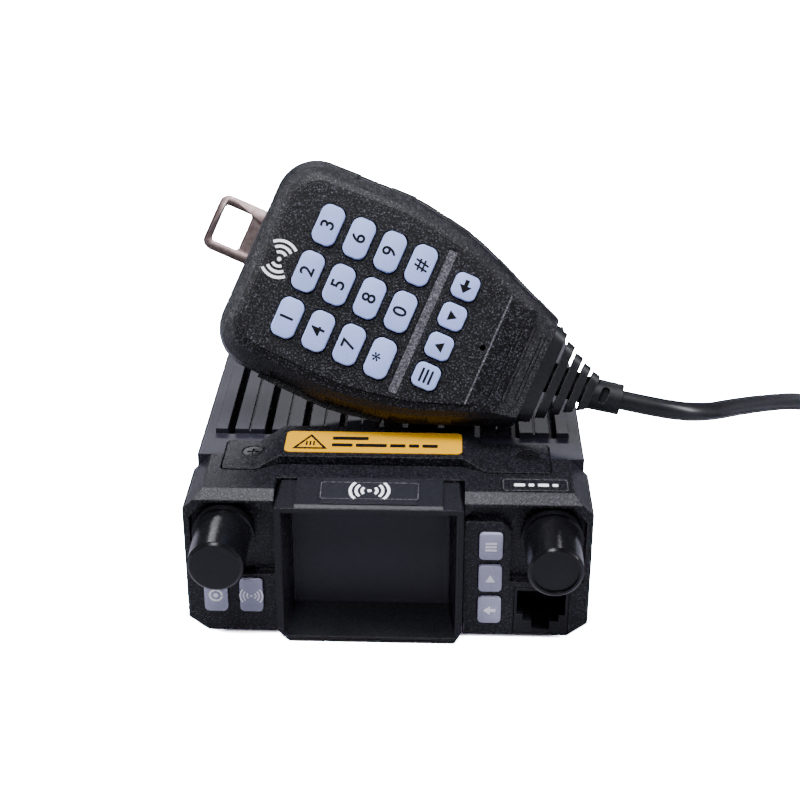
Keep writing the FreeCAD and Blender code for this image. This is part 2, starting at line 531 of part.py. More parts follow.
def jack():
    x = "width / 2 - jack_inset"
    shell = box(x + " - jack_wide / 2", front, "jack_base", "jack_wide", "jack_deep", "jack_top - jack_base")
    deep = "jack_deep - 2 + 1"
    cavity = [box("%s - (%s) / 2" % (x, wide), front + " - 1", low, wide, deep, "%s - %s" % (top, low))
              for wide, low, top in (("jack_open_wide", "jack_step", "jack_open_top"),
                                     ("latch_wide", "latch_step", "jack_step + 0.5"),
                                     ("key_wide", "key_base", "latch_step + 0.5"))]
    wires = [box("%s - 3.8 + %g" % (x, 1.02 * k), front + " + 2.5", "jack_open_top - 1.1", "0.5",
                 "jack_deep - 4", "1.3") for k in range(8)]
    sub_part(fuse(cut(shell, *cavity), *wires), "mic_jack")


def rear_fittings():
    rear = "depth / 2"
    inner = "depth / 2 - rear_wall - fan_thick"
    frame = slab("fan_x - fan_side / 2", inner, "fan_height - fan_side / 2", "fan_side", "fan_thick",
                 "fan_side", "y", "2")
    tunnel = rod("fan_x", inner + " - 1", "fan_height", "fan_open", "fan_thick + 2", "y")
    arms = [box("fan_x - fan_side / 2 + 1", inner, "fan_height - 0.8", "fan_side - 2", "1.2", "1.6"),
            box("fan_x - 0.8", inner, "fan_height - fan_side / 2 + 1", "1.6", "1.2", "fan_side - 2"),
            rod("fan_x", inner, "fan_height", "hub_radius", "1.2", "y"),
            rod("fan_x", inner, "fan_height", "axle_radius", "fan_thick - 3", "y")]
    holes = [rod("fan_x %s fan_screw_pitch / 2" % sx, inner + " - 1",
                 "fan_height %s fan_screw_pitch / 2" % sz,
                 "screw_radius + 0.05", "fan_thick + 2", "y") for sx in "-+" for sz in "-+"]
    sub_part(fuse(cut(frame, tunnel, *holes), *arms), "fan_frame")
    hub = rod("fan_x", inner + " + 1.6", "fan_height", "hub_radius", "fan_thick - 2.2", "y")
    blades = []
    for k in range(7):
        blade = doc.addObject("Part::Box", "blade")
        bind(blade, {"Length": "rotor_radius - hub_radius + 1", "Width": "1", "Height": "fan_thick - 3"})
        spin = Rotation(Vector(0, 1, 0), 360 / 7 * k)
        pitch = spin * Rotation(Vector(1, 0, 0), -62)
        blade.Placement = Placement(Vector(), pitch)
        root = spin.multVec(Vector(1, 0, 0))
        put(blade, "fan_x + (hub_radius - 1) * %.4f" % root.x, inner + " + 2.4",
            "fan_height + (hub_radius - 1) * %.4f" % root.z)
        blades.append(blade)
    swept = rod("fan_x", inner + " + 1.8", "fan_height", "rotor_radius", "fan_thick - 2.4", "y")
    bearing = rod("fan_x", inner, "fan_height", "axle_radius + 0.06", "fan_thick - 2.6", "y")
    sub_part(cut(fuse(hub, common(fuse(*blades), swept)), bearing), "fan_rotor")

    flange = slab("antenna_x - antenna_flange / 2", rear, "antenna_height - antenna_flange / 2",
                  "antenna_flange", "1.6", "antenna_flange", "y", "2")
    barrel = rod("antenna_x", rear + " + 1.6", "antenna_height", "antenna_radius", "antenna_long", "y")
    tail = rod("antenna_x", rear + " - rear_wall - 4", "antenna_height", "antenna_bore + 1.3",
               "rear_wall + 5", "y")
    mouth = cut(rod("antenna_x", rear + " + 4", "antenna_height", "antenna_radius - 1.4", "antenna_long",
                    "y"),
                rod("antenna_x", rear + " + 4", "antenna_height", "antenna_bore", "antenna_long - 5", "y"))
    socket = rod("antenna_x", rear + " + 3", "antenna_height", "antenna_pin_bore", "antenna_long", "y")
    sub_part(cut(fuse(flange, barrel, tail), mouth, socket), "antenna_socket")

    gland = fuse(rod("gland_x", rear, "gland_height", "gland_radius", "gland_long", "y"),
                 rod("gland_x", rear + " - rear_wall - 2", "gland_height", "gland_radius - 1.2",
                     "rear_wall + 3", "y"))
    sub_part(cut(gland, rod("gland_x", rear + " - rear_wall - 3", "gland_height", "gland_bore",
                            "rear_wall + gland_long + 4", "y")), "power_gland")
    nut = fuse(rod("phones_x", rear, "phones_height", "phones_radius", "2.5", "y"),
               rod("phones_x", rear + " - rear_wall - 9",
                   "phones_height", "phones_radius - 1", "rear_wall + 10", "y"))
    sub_part(cut(nut, rod("phones_x", rear + " - 10", "phones_height", "phones_bore", "14", "y")),
             "speaker_jack")


# Hand microphone, in its own frame.

def rounded(points, radii, height):
    """A closed wire of straight runs with an arc at each corner."""
    count = len(points)
    starts, ends, edges = [], [], []
    for i in range(count):
        before, here, after = (Vector(*points[j % count], 0) for j in (i - 1, i, i + 1))
        a, b = (before - here).normalize(), (after - here).normalize()
        half = a.getAngle(b) / 2
        reach = radii[i] / math.tan(half)
        middle = here + (a + b).normalize() * (radii[i] / math.sin(half) - radii[i])
        starts.append(here + a * reach)
        ends.append(here + b * reach)
        edges.append(Part.Arc(starts[i], middle, ends[i]).toShape())
    wire = []
    for i in range(count):
        wire.append(edges[i])
        wire.append(Part.LineSegment(ends[i], starts[(i + 1) % count]).toShape())
    outline = Part.Wire(wire)
    outline.translate(Vector(0, 0, height))
    return outline


def mic_outline(inset, height, end=0):
    """The front view of the hand microphone, drawn in by inset."""
    slope = (s.mic_hip - s.mic_neck) / (s.mic_hip_y - s.mic_end)
    neck_y = s.mic_end - end
    neck = s.mic_neck - slope * end - inset * 0.8
    right = [(neck, neck_y), (s.mic_hip - inset * 0.95, s.mic_hip_y), (s.mic_half - inset, s.mic_waist_y),
             (s.mic_half_top - inset, s.mic_top - inset)]
    corner = max(s.mic_corner - inset * 0.6, 2)
    radii = [1.5, s.mic_soft, s.mic_soft, corner]
    points = right + [(-x, y) for x, y in reversed(right)]
    return rounded(points, radii + radii[::-1], height)


def loft(sections, end=0):
    return Part.makeLoft([mic_outline(inset, height, end) for height, inset in sections], True, True)


def side_prism(points, half):
    """A side view (length, depth) extruded across the microphone."""
    wire = Part.makePolygon([Vector(-half, y, z) for y, z in points + points[:1]])
    return Part.Face(wire).extrude(Vector(2 * half, 0, 0))


def plug_of(x, y, wide, high, radius, low, top):
    """A round-cornered block standing along the microphone's depth."""
    points = [(x - wide / 2, y - high / 2), (x + wide / 2, y - high / 2),
              (x + wide / 2, y + high / 2), (x - wide / 2, y + high / 2)]
    return Part.Face(rounded(points, [radius] * 4, low)).extrude(Vector(0, 0, top - low))


def key_places():
    """Each key's middle and its two sides."""
    names = ["key_1", "key_2", "key_3", "key_4", "key_5", "key_6", "key_7", "key_8", "key_9",
             "key_star", "key_0", "key_hash"]
    places = {}
    for i, name in enumerate(names):
        row, column = divmod(i, 3)
        places[name] = ("%d * key_pitch" % (column - 1), "-%d * row_pitch" % row, "key_long", "key_short",
                        "key_round")
    for i, name in enumerate(["key_menu", "key_up", "key_down", "key_back"]):
        places[name] = ("%.1f * function_pitch" % (i - 1.5), "function_row", "function_side",
                        "function_side", "function_round")
    return places


def key_numbers():
    """The same places as plain numbers, for the openings in the shell."""
    numbers = []
    for i in range(12):
        row, column = divmod(i, 3)
        numbers.append(((column - 1) * s.key_pitch, -row * s.row_pitch, s.key_long, s.key_short, s.key_round))
    for i in range(4):
        numbers.append(((i - 1.5) * s.function_pitch, s.function_row, s.function_side,
                        s.function_side, s.function_round))
    return numbers


def mic_shells():
    """Both shells before they are placed, and the outer form they share."""
    split, wall = -s.mic_split, s.mic_wall
    back = -s.mic_thick
    front_form = loft([(split, 0), (-7.6, 0), (-4.2, 0.9), (-2.3, 2.3), (-1.1, 4.1),
                       (-s.face_rise, s.face_inset - 0.6)])
    face = Part.Face(mic_outline(s.face_inset, -s.face_rise - 0.5)).extrude(Vector(0, 0, s.face_rise + 0.5))
    toe = s.mic_end - 5
    toe_drop = -s.mic_drop * (toe - s.mic_crease) / (s.mic_end - s.mic_crease)
    crease = side_prism([(s.mic_crease, 0), (s.mic_crease, 5), (toe, 5), (toe, toe_drop)], 40)
    front_in = loft([(split - 1, wall), (-7.6, wall), (-4.6, wall + 1),
                     (-s.mic_drop - wall - 0.4, wall + 3.4)], -wall)
    rear_form = loft([(split, 0), (split - 4, 0.4), (back + 4.2, 2), (back + 1.4, 4.6), (back, 8)])
    slant = side_prism([(s.mic_hip_y + 8, back), (s.mic_end - 2, -s.mic_neck_back), (s.mic_end - 2, back - 5),
                        (s.mic_hip_y + 8, back - 5)], 40)
    rear_in = loft([(split + 1, wall), (split - 4, wall + 0.4), (back + 4.8, wall + 2),
                    (back + wall, wall + 4)], -wall)
    slant_in = side_prism([(s.mic_hip_y + 8, back + wall), (s.mic_end - 2, wall - s.mic_neck_back),
                           (s.mic_end - 2, back - 5), (s.mic_hip_y + 8, back - 5)], 40)

    steps = [(-1.2, -9.8), (-16.4, -25.8), (-32.4, -41.6), (-47.2, -54.6)]
    trim = loft([(split + 0.8, s.grip_step), (-7.6, s.grip_step), (-4.2, 0.9 + s.grip_step),
                 (-2.6, 2.4 + s.grip_step)])
    band = []
    for top, low in steps:
        for x in (-40, 10):
            block = Part.makeBox(30, top - low, s.mic_split - 0.8 - 2.9, Vector(x, low, split + 0.8))
            band.append(block.cut(trim))
    ptt = Part.makeBox(20, s.ptt_top - s.ptt_base, s.ptt_back - s.ptt_front,
                       Vector(-s.mic_half - 20 + s.ptt_deep + 0.9, s.ptt_base, -s.ptt_back))

    shell = front_form.fuse(face).cut(crease).cut(front_in)
    for x, y, wide, high, radius in key_numbers():
        shell = shell.cut(plug_of(x, y, wide + 0.4, high + 0.4, radius + 0.2, -8, 2))
    shell = shell.cut(Part.makeBox(2 * s.bar_half, s.bar_wide, 1,
                                   Vector(-s.bar_half, s.bar_y - s.bar_wide / 2, -0.35)))
    shell = shell.cut(Part.makeCylinder(s.mic_hole, 10, Vector(0, s.mic_crease + 1.8, -6)))
    for k in range(3):
        y = s.mic_crease - 4.6 - 3 * k
        for shift in (0, 0.9):
            depth = s.mic_drop * (s.mic_crease - y) / (s.mic_crease - s.mic_end)
            shell = shell.cut(Part.makeBox(22 - 2.2 * k, 0.3, 2,
                                           Vector(-11 + 1.1 * k, y - shift, -depth - 0.35)))
    for block in band:
        shell = shell.cut(block)
    shell = shell.cut(ptt)
    rear = rear_form.cut(slant).cut(rear_in.cut(slant_in)).cut(ptt)
    return shell, rear


def hand_microphone():
    shell, rear = mic_shells()
    turn = Rotation(s.mic_yaw, s.mic_pitch, s.mic_roll)
    low = 0
    for solid in (shell, rear):
        turned = solid.copy()
        turned.Placement = Placement(Vector(), turn)
        low = min(low, turned.optimalBoundingBox(False).ZMin)
    place = Placement(Vector(s.mic_x, s.mic_y, s.fin_top + s.rest_gap - low), turn)
    print("hand microphone at", [round(v, 3) for v in place.Base], "lowest", round(low, 2))
    screws_at = [(x, y) for x in (-17, 17) for y in (6, -30)]
    back = -s.mic_thick
    holes = [Part.makeCylinder(1.6, 6, Vector(x, y, back - 1)) for x, y in screws_at]
    for hole in holes:
        rear = rear.cut(hole)
    posts = []
    for x, y in screws_at:
        posts.append(Part.makeCylinder(2.6, s.mic_thick - 9.6, Vector(x, y, back + 1)).cut(
            Part.makeCylinder(1.6, s.mic_thick, Vector(x, y, back - 1))))
    for post in posts:
        rear = rear.fuse(post)
    for y in (2, 10):
        rear = rear.cut(Part.makeCylinder(1.25, 6, Vector(s.hanger_x, y, back - 1)))
    neck_room = Part.makeCylinder(4.45, 14, Vector(0, s.mic_end - 4, -s.boot_axis), Vector(0, 1, 0))
    from_shape(shell.cut(neck_room), "handset_front_shell", place)
    from_shape(rear.cut(neck_room), "handset_rear_shell", place)

    screws = [Part.makeCylinder(1.5, 5, Vector(x, y, back + 0.6)) for x, y in screws_at]
    screws += [Part.makeCylinder(2, 1, Vector(s.hanger_x, y, back - s.hanger_thick - 1)).fuse(
        Part.makeCylinder(1.2, s.hanger_thick + 1.8, Vector(s.hanger_x, y, back - s.hanger_thick - 0.2)))
        for y in (2, 10)]
    drives = [Part.makeBox(2.2, 0.5, 0.6, Vector(x - 1.1, y - 0.25, back + 0.6)) for x, y in screws_at]
    drives += [Part.makeBox(2.8, 0.6, 0.6, Vector(s.hanger_x - 1.4, y - 0.3, back - s.hanger_thick - 1))
               for y in (2, 10)]
    from_shape(Part.Compound([screw.cut(drive) for screw, drive in zip(screws, drives)]), "handset_screws",
               place)

    for name, (x, y, wide, high, radius) in key_places().items():
        cap = slab("%s - %s / 2" % (x, wide), "%s - %s / 2" % (y, high), "-key_deep", wide, high,
                   "key_deep + key_proud", "z", radius)
        skirt = slab("%s - %s / 2 - 0.6" % (x, wide), "%s - %s / 2 - 0.6" % (y, high),
                     "-mic_drop - mic_wall - 1.4", wide + " + 1.2", high + " + 1.2", "0.8", "z", radius)
        stem = slab("%s - %s / 2" % (x, wide), "%s - %s / 2" % (y, high), "-mic_drop - mic_wall - 1.4",
                    wide, high,
                    "mic_drop + mic_wall", "z", radius)
        sub_part(fuse(cap, stem, skirt), name, place)

    board = slab("-19", "mic_hip_y - 8", "-mic_drop - mic_wall - 4.4", "38", "mic_top - mic_hip_y + 3",
                 "1.4", "z", "2")
    sub_part(board, "handset_pcb", place)
    sub_part(group(rod("0", "mic_crease + 1.8", "-mic_drop - mic_wall - 3.6", "3", "3")), "mic_capsule",
             place)

    plate = slab("hanger_x - hanger_wide / 2", "hanger_base", "-mic_thick - hanger_thick", "hanger_wide",
                 "hanger_top - hanger_base", "hanger_thick", "z", "hanger_round")
    window = slab("hanger_x - hanger_wide / 2 + hanger_band",
                  "hanger_top - hanger_band * 0.7 - hanger_window",
                  "-mic_thick - hanger_thick - 1", "hanger_wide - 2 * hanger_band", "hanger_window",
                  "hanger_thick + 2", "z", "1")
    fixings = [rod("hanger_x", y, "-mic_thick - hanger_thick - 1", "1.3", "4") for y in ("2", "10")]
    sub_part(cut(plate, window, *fixings), "handset_hanger", place)

    outer = loft([(-s.ptt_back + s.ptt_gap, -s.ptt_proud), (-s.ptt_front - s.ptt_gap, -s.ptt_proud)])
    inner = Part.makeBox(20, s.ptt_top - s.ptt_base - 2 * s.ptt_gap, 20,
                         Vector(-s.mic_half - 20 + s.ptt_deep, s.ptt_base + s.ptt_gap, -18))
    from_shape(outer.common(inner), "ptt_bar", place)

    cable_boot(place)
    return place


def boot_drift(y):
    """How far the neck has bent sideways by this point of its length."""
    return s.boot_lean * ((s.mic_end - y) / (s.mic_end - s.boot_end)) ** 2


def cable_boot(place):
    """The ribbed rubber neck and the round sleeve that the cord leaves by."""
    axis = -s.boot_axis
    length = s.mic_end - s.boot_start
    core = Part.makeCone(4.4, 3.4, length + 6, Vector(0, s.mic_end + 4, axis),
                         Vector(boot_drift(s.boot_start - 2), -length - 6, 0))
    turn = math.radians(s.boot_turn)
    heading = Vector(math.sin(turn), -math.cos(turn), 0)
    reach = s.boot_start - s.boot_end + 1.2
    sleeve = Part.makeCone(s.boot_radius + 0.15, s.boot_radius, reach,
                           Vector(s.boot_lean, s.boot_end, axis) - heading * reach, heading)
    whole = core.fuse(sleeve)
    ribs = [(0, 3.2, 13, 6.4), (4, 2.2, 10.4, 5.9), (7, 2.1, 8.4, 5.4), (9.9, 2, 6.7, 4.9),
            (12.7, 2, 5.3, 4.5)]
    for first, thick, half, deep in ribs:
        y = s.mic_end - first
        sections = []
        for step, shrink in ((0, 0), (thick, 0.16 * thick)):
            points = [(-half + shrink * 2.2, -deep + shrink), (half - shrink * 2.2, -deep + shrink),
                      (half - shrink * 2.2, deep - shrink), (-half + shrink * 2.2, deep - shrink)]
            wire = rounded(points, [min(half, deep) * 0.55] * 4, 0)
            wire.rotate(Vector(), Vector(1, 0, 0), 90)
            wire.translate(Vector(boot_drift(y - step), y - step, axis))
            sections.append(wire)
        whole = whole.fuse(Part.makeLoft(sections, True, True))
    y = s.boot_start - 3.4
    slot = plug_of(boot_drift(y), y, 4.2, 2, 0.95, axis + 2.4, axis + 8)
    whole = whole.cut(slot)
    from_shape(whole, "cable_boot", place)


# Microphone cord.

def tube(points, radius, label):
    """Straight runs joined by tangent arcs, each arc as large as its two runs allow."""
    edges, radii, length = [], [], 0
    last = points[0]
    for before, here, after in zip(points, points[1:], points[2:]):
        a, b = (before - here), (after - here)
        reach = 0.45 * min(a.Length, b.Length)
        half = (math.pi - a.getAngle(b)) / 2
        bend = reach / math.tan(half)
        a.normalize()
        b.normalize()
        start, end = here + a * reach, here + b * reach
        middle = here + (a + b).normalize() * (bend / math.cos(half) - bend)
        edges.append(Part.LineSegment(last, start).toShape())
        edges.append(Part.Arc(start, middle, end).toShape())
        radii.append(round(bend, 1))
        length += (start - last).Length + bend * 2 * half
        last = end
    edges.append(Part.LineSegment(last, points[-1]).toShape())
    length += (points[-1] - last).Length
    path = Part.Wire(edges)
    ring = Part.Wire(Part.makeCircle(radius, points[0], points[1] - points[0]))
    pipe = path.makePipeShell([ring], True, False)
    share = pipe.Volume / (math.pi * radius ** 2 * length)
    print(label, "length", round(length, 1), "radii", radii, "volume share", round(share, 4))
    if abs(share - 1) > 0.01:
        raise ValueError(label + " isn't as full as its path")
    return from_shape(pipe, label)


def curl_points():
    """The corners of the curly stretch's centre line, on a circle beside the radio."""
    points = []
    for k in range(int(s.curl_runs) + 1):
        angle = math.radians(s.curl_start - s.curl_sweep * k / s.curl_runs)
        points.append(Vector(s.curl_x + s.curl_radius * math.cos(angle),
                             s.curl_y + s.curl_radius * math.sin(angle), s.curl_diameter / 2))
    return points


def cord(place):
    turn = math.radians(s.boot_turn)
    leave = place.multVec(Vector(s.boot_lean, s.boot_end, -s.boot_axis))
    along = place.Rotation.multVec(Vector(math.sin(turn), -math.cos(turn), 0))
    curl = curl_points()
    into = (curl[1] - curl[0]).normalize()
    print("cord leaves at", [round(v, 2) for v in leave], "along", [round(v, 3) for v in along])
    lead = [leave, leave + along * 12.8, Vector(80.2, -14.9, 44.8), Vector(90, -0.5, 39.4),
            Vector(103, 18, 31.8), Vector(116.5, 38.5, 22.5), curl[0] - into * 20, curl[0]]
    tube(lead, s.cord_diameter / 2, "cord_lead")
    tube(curl, s.curl_diameter / 2, "cord_curl")
    out = (curl[-1] - curl[-2]).normalize()
    tail = [curl[-1], curl[-1] + out * 15, Vector(124.5, 46.5, 4.6), Vector(135, 58, 3.4),
            Vector(150, 60, 3.4), Vector(163.5, 52, 3.4), Vector(171, 38.5, 4), Vector(171.6, 24, 4)]
    tube(tail, s.cord_diameter / 2, "cord_tail")
    end, aim = tail[-1], (tail[-1] - tail[-2]).normalize()
    plug = Part.makeBox(s.plug_wide, s.plug_high, s.plug_long - 7,
                        Vector(-s.plug_wide / 2, -s.plug_high / 2, 7))
    collar = Part.makeCone(s.cord_diameter / 2 + 0.6, 4, 7)
    latch = side_latch()
    for k in range(8):
        plug = plug.cut(Part.makeBox(0.6, 1.2, 6, Vector(-3.9 + 1.03 * k, -s.plug_high / 2 - 0.4,
                                                         s.plug_long - 5)))
    aim = Vector(aim.x, aim.y, 0).normalize()
    frame = Matrix(-aim.y, 0, aim.x, end.x, aim.x, 0, aim.y, end.y, 0, 1, 0, end.z, 0, 0, 0, 1)
    from_shape(plug.fuse(collar).fuse(latch), "mic_plug", Placement(frame))


def side_latch():
    """The springy tongue on top of the plug, thin at its free end."""
    points = [(s.plug_high / 2 - 0.1, s.plug_long - 0.6), (s.plug_high / 2 + 0.9, s.plug_long - 2),
              (s.plug_high / 2 + 3.2, 6), (s.plug_high / 2 + 2.2, 6),
              (s.plug_high / 2 - 0.1, s.plug_long - 3.5)]
    wire = Part.makePolygon([Vector(-1.6, y, z) for y, z in points + points[:1]])
    return Part.Face(wire).extrude(Vector(3.2, 0, 0))


front_panel()
panel_buttons()
display()
boards()
chassis()
joining_strip()
knobs()
jack()
rear_fittings()
cord(hand_microphone())
doc.recompute()

os.makedirs("parts", exist_ok=True)
for thing in doc.Objects:
    if "Invalid" in thing.State or "Error" in thing.State:
        raise ValueError("failed: %s %s" % (thing.Name, thing.State))
for thing in nodes:
    shape = thing.Shape
    if shape.isNull() or not shape.isValid() or not shape.Solids:
        raise ValueError("bad shape: " + thing.Label)
for thing in nodes:
    thing.Shape.exportStep("parts/%s.step" % thing.Label)
    extent = thing.Shape.BoundBox
    print(thing.Label, len(thing.Shape.Solids), "solids",
          [round(v, 1) for v in (extent.XMin, extent.XMax, extent.YMin, extent.YMax, extent.ZMin,
                                 extent.ZMax)])
print(len(nodes), "nodes")
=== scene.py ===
# Looks for the mobile transceiver and its hand microphone. Metres, Z up, the front panel faces -Y.
import bpy
import math
from mathutils import Matrix, Vector


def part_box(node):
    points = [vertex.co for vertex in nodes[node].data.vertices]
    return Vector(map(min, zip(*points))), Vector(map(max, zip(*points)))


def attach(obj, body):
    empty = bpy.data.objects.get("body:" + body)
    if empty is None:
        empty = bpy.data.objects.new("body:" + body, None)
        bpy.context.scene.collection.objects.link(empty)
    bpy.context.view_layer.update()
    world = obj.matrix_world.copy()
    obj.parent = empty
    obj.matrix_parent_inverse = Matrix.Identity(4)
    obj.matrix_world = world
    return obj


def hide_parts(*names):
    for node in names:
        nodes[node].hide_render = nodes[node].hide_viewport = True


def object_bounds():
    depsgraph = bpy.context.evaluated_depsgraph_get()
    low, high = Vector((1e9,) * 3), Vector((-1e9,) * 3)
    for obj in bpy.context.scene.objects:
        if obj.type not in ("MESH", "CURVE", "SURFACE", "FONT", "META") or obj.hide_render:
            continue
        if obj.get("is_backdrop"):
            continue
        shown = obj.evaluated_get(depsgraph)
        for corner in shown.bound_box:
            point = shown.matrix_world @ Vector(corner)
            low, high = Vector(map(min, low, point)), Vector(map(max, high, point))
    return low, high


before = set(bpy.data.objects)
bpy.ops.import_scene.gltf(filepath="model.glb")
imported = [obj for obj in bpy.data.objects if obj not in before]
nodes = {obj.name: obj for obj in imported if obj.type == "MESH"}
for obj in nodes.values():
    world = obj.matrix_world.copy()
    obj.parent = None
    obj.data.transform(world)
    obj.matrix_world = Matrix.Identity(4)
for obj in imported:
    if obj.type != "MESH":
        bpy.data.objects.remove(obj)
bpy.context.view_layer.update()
bpy.ops.object.select_all(action="DESELECT")
print("frame loaded,", len(nodes), "CAD nodes")

mm = 0.001

# The camera looks down at the front panel from a little right of the middle.
cameraLook = {
    "place": (12.308 * mm, -375.593 * mm, 224.068 * mm),
    "turn": (63.861, -0.095, 1.698),  # degrees
    "lens": 71.1,
    "sensor": 36,
}

bpy.ops.object.camera_add(location=cameraLook["place"],
                          rotation=[math.radians(a) for a in cameraLook["turn"]])
camera = bpy.context.object
camera.data.lens = cameraLook["lens"]
camera.data.sensor_width = cameraLook["sensor"]
camera.data.clip_start = 0.01
bpy.context.scene.camera = camera
print("camera placed")


def pick(piece):
    bpy.ops.object.select_all(action="DESELECT")
    piece.select_set(True)
    bpy.context.view_layer.objects.active = piece


def applied(piece, kind, **settings):  # add a modifier and apply it
    pick(piece)
    modifier = piece.modifiers.new(kind.lower(), kind)
    for key, value in settings.items():
        setattr(modifier, key, value)
    bpy.ops.object.modifier_apply(modifier=modifier.name)


def seat(piece, matrix):  # carve the place into the mesh, so the object stays at the origin
    piece.data.transform(matrix @ piece.matrix_world)
    piece.matrix_world = Matrix.Identity(4)


# Finishes: grainy() makes them all, and only the numbers differ.
def startFinish(name):
    finish = bpy.data.materials.new(name)
    finish.use_nodes = True
    return finish, finish.node_tree.nodes, finish.node_tree.links, finish.node_tree.nodes["Principled BSDF"]


def place(nodesOf):
    return nodesOf.new("ShaderNodeTexCoord").outputs["Object"]


def noise(nodesOf, links, spot, scale, detail, rough=0.5):
    grain = nodesOf.new("ShaderNodeTexNoise")
    grain.inputs["Scale"].default_value = scale
    grain.inputs["Detail"].default_value = detail
    grain.inputs["Roughness"].default_value = rough
    links.new(spot, grain.inputs["Vector"])
    return grain.outputs["Fac"]


def span(nodesOf, links, value, low, high, fromLow=0.3, fromHigh=0.7):
    fit = nodesOf.new("ShaderNodeMapRange")
    fit.inputs["From Min"].default_value = fromLow
    fit.inputs["From Max"].default_value = fromHigh
    fit.inputs["To Min"].default_value = low
    fit.inputs["To Max"].default_value = high
    links.new(value, fit.inputs["Value"])
    return fit.outputs["Result"]


def tint(nodesOf, links, value, dark, light):
    blend = nodesOf.new("ShaderNodeMix")
    blend.data_type = "RGBA"
    blend.inputs["A"].default_value = (*dark, 1)
    blend.inputs["B"].default_value = (*light, 1)
    links.new(value, blend.inputs["Factor"])
    return blend.outputs["Result"]


def grainy(name, look):
    finish, made, links, shader = startFinish(name)
    spot = place(made)
    fine = noise(made, links, spot, look["grain"], 1.5, 0.6)
    broad = noise(made, links, spot, look.get("patch", 60), 3)
    low, high = look.get("fleck", (0.3, 0.7))
    links.new(tint(made, links, span(made, links, fine, 0, 1, low, high), look["dark"], look["light"]),
              shader.inputs["Base Color"])
    links.new(span(made, links, broad, look["rough"] - 0.05, look["rough"] + 0.06),
              shader.inputs["Roughness"])
    height = fine
    if "cells" in look:  # leather-like pebbles
        pebbles = made.new("ShaderNodeTexVoronoi")
        pebbles.feature = "DISTANCE_TO_EDGE"
        pebbles.inputs["Scale"].default_value = look["cells"]
        links.new(spot, pebbles.inputs["Vector"])
        height = span(made, links, pebbles.outputs["Distance"], 0, 1, 0, 0.25)
    bump = made.new("ShaderNodeBump")
    bump.inputs["Strength"].default_value = look["strength"]
    bump.inputs["Distance"].default_value = look["depth"]
    if "edge" in look:  # soft moulded edges, in millimetres
        soft = made.new("ShaderNodeBevel")
        soft.samples = 4
        soft.inputs["Radius"].default_value = look["edge"] * mm
        links.new(soft.outputs["Normal"], bump.inputs["Normal"])
    links.new(height, bump.inputs["Height"])
    links.new(bump.outputs["Normal"], shader.inputs["Normal"])
    shader.inputs["Metallic"].default_value = look.get("metal", 0)
    shader.inputs["Specular IOR Level"].default_value = look.get("shine", 0.5)
    return finish


